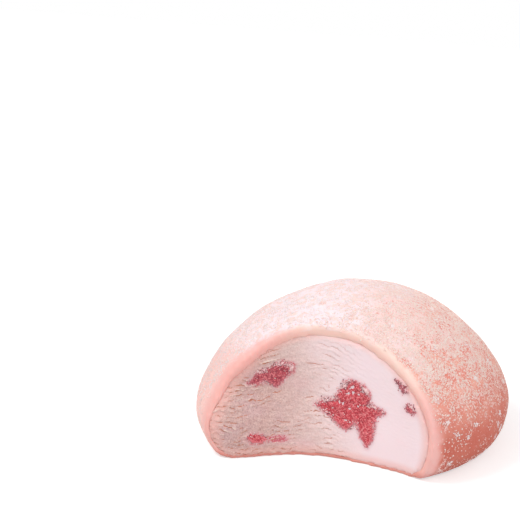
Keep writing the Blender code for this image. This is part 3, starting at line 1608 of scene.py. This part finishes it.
@dataclass
class Studio:
    """Pale floor, soft lights and the camera."""

    azimuth: float = 19.0
    elevation: float = 23.2
    distance: float = 0.348
    lens: float = 128.8
    aim_right: float = -17.7
    aim_up: float = 31.05
    floor_size: float = 0.35
    floor_tone: float = 0.7
    floor_glow: float = 0.5
    daylight: float = 0.5
    lamps: Sequence[Lamp] = (
        Lamp("key", (-0.4, -0.2, 0.6), 0.4, 2.7),
        Lamp("fill", (0.5, -0.38, 0.42), 0.5, 2.1))

    def floor(self) -> None:
        """Makes the pale floor, white wherever it is seen directly."""
        bm = bmesh.new()
        bmesh.ops.create_grid(bm, x_segments=2, y_segments=2, size=self.floor_size)
        bmesh.ops.translate(bm, verts=bm.verts, vec=(0.0, 0.0, -0.00005))
        made = to_object("floor", bm)
        material, graph, shader = new_material("floor")
        shader.inputs["Base Color"].default_value = (
            self.floor_tone, self.floor_tone, self.floor_tone, 1.0)
        shader.inputs["Roughness"].default_value = 0.9
        shader.inputs["Emission Color"].default_value = (1.0, 1.0, 1.0, 1.0)
        glow = graph.times(graph.direct_rays(), self.floor_glow)
        graph.feed(glow, shader, "Emission Strength")
        made.data.materials.append(material)

    def world(self) -> None:
        """Lights the scene evenly and shows white behind it."""
        world = bpy.data.worlds.new("studio")
        bpy.context.scene.world = world
        world.use_nodes = True
        graph = Graph(world.node_tree)
        back = world.node_tree.nodes["Background"]
        strength = graph.times_plus(
            graph.direct_rays(), 1.0 - self.daylight, self.daylight)
        back.inputs["Color"].default_value = (1.0, 1.0, 1.0, 1.0)
        graph.feed(strength, back, "Strength")

    def light(self, lamp: Lamp) -> None:
        """Sets up one soft lamp that shines at the sweet.

        Args:
            lamp: The lamp.
        """
        data = bpy.data.lights.new(lamp.name, "AREA")
        data.shape = "DISK"
        data.size = lamp.size
        data.energy = lamp.power
        made = bpy.data.objects.new(lamp.name, data)
        made.location = lamp.place
        aim = Vector((0.0, 0.0, LAMP_AIM * MM)) - Vector(lamp.place)
        made.rotation_euler = aim.to_track_quat("-Z", "Y").to_euler()
        bpy.context.scene.collection.objects.link(made)

    def camera(self) -> None:
        """Sets the camera where the sweet is seen a little from above."""
        turn, rise = math.radians(self.azimuth), math.radians(self.elevation)
        back = Vector((
            math.sin(turn) * math.cos(rise), -math.cos(turn) * math.cos(rise),
            math.sin(rise)))
        right = Vector((math.cos(turn), math.sin(turn), 0.0))
        upward = back.cross(right)
        data = bpy.data.cameras.new("camera")
        data.lens = self.lens
        data.clip_start, data.clip_end = 0.01, 20.0
        made = bpy.data.objects.new("camera", data)
        made.location = back * self.distance
        aim = (right * self.aim_right + upward * self.aim_up) * MM
        made.rotation_euler = (aim - made.location).to_track_quat("-Z", "Y").to_euler()
        bpy.context.scene.collection.objects.link(made)
        bpy.context.scene.camera = made

    def build(self) -> None:
        """Sets up the floor, the light and the camera."""
        self.floor()
        self.world()
        for lamp in self.lamps:
            self.light(lamp)
        self.camera()
        bpy.context.scene.view_settings.view_transform = "Standard"


PIECES = (
    StrawberryPiece("strawberry_centre", (
        (-2.2, 9.9), (-0.4, 8.7), (1.7, 7.3), (3.1, 6.1), (4.2, 6.1), (5.5, 7.7),
        (6.1, 6.6), (6.6, 4.9), (7.7, 3.3), (8.8, 4.9), (9.3, 7.7), (9.6, 9.5),
        (11.3, 10.6), (9.5, 11.1), (8.3, 11.9), (8.0, 13.8), (6.8, 14.8), (4.8, 15.3),
        (3.6, 14.9), (2.6, 13.3), (1.6, 11.3), (-0.1, 11.1)),
        depth=4.2, frosted=0.8, proud=0.08),
    StrawberryPiece("strawberry_upper_left", (
        (-15.0, 13.2), (-13.4, 13.1), (-11.4, 13.7), (-9.6, 12.6), (-8.6, 13.5),
        (-7.6, 14.6), (-6.4, 15.6), (-6.1, 17.1), (-8.6, 17.5), (-10.6, 16.3),
        (-12.6, 15.9), (-13.8, 14.5)),
        depth=3.2, frosted=0.74, dusk=0.5),
    StrawberryPiece("strawberry_lower_left", (
        (-13.9, 3.8), (-13.1, 2.8), (-11.4, 2.7), (-10.3, 3.2), (-11.4, 4.1),
        (-13.3, 4.5)),
        depth=2.2, frosted=0.3),
    StrawberryPiece("strawberry_right", (
        (15.3, 12.7), (15.6, 12.0), (16.8, 11.7), (17.6, 12.2), (16.7, 13.3),
        (16.0, 13.5)),
        depth=2.0, frosted=0.8, dusk=0.4),
    StrawberryPiece("strawberry_shred", (
        (13.0, 17.1), (13.9, 16.2), (14.7, 15.0), (15.1, 15.3), (15.9, 15.8),
        (15.0, 16.2), (14.4, 16.5), (13.7, 17.2)),
        depth=1.6, frosted=0.6, dusk=0.85),
)


BITS = (
    (Bits(Bit.FRUIT, 700, 0.14, 0.3, seed=21, spread=0.22, pieces=3),
     CrumbFinish(
         "strawberry_crumbs", srgb(214, 104, 116), srgb(242, 178, 182), 0.5)),
    (Bits(Bit.DUSK, 1000, 0.12, 0.28, seed=23, spread=0.26, pieces=5),
     CrumbFinish(
         "dark_strawberry_crumbs", srgb(112, 46, 62), srgb(176, 70, 86), 0.5)),
    (Bits(Bit.ICE, 1500, 0.13, 0.32, seed=22, spread=0.26, pieces=3,
          slot="ice_cream"),
     CrumbFinish(
         "ice_crystals", srgb(238, 200, 198), srgb(250, 228, 228), 0.4)),
)
STARCH_CREAM = CrumbFinish("starch_cream", srgb(253, 211, 201), srgb(255, 239, 231))
STARCH_PALE = CrumbFinish("starch_pale", srgb(254, 232, 230), srgb(255, 242, 242))
DUSTINGS = (
    StarchDusting(Powder.CREAM, 24000, 0.14, 0.38, seed=11),
    StarchDusting(Powder.WHITE, 8000, 0.16, 0.36, seed=13),
    StarchDusting(
        Powder.CLUMP, 80, 0.18, 0.4, seed=12, cluster=(10, 24), spread=0.28),
)


def main() -> None:
    """Builds every piece and the studio."""
    logging.basicConfig(level=logging.INFO, format="%(relativeCreated)d %(message)s")
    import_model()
    skin = DoughSkin().build(DoughFinish().build())
    IceCream(fruit=[piece.outline for piece in PIECES]).build(IceCreamFinish().build())
    berry = StrawberryFinish().build()
    for piece in PIECES:
        piece.build(berry)
    for bits, finish in BITS:
        bits.build(PIECES, finish.build())
    cream, pale = STARCH_CREAM.build(), STARCH_PALE.build()
    for dusting in DUSTINGS:
        dusting.build(skin, cream if dusting.kind is Powder.CREAM else pale)
    Studio().build()


if __name__ == "__main__":
    main()
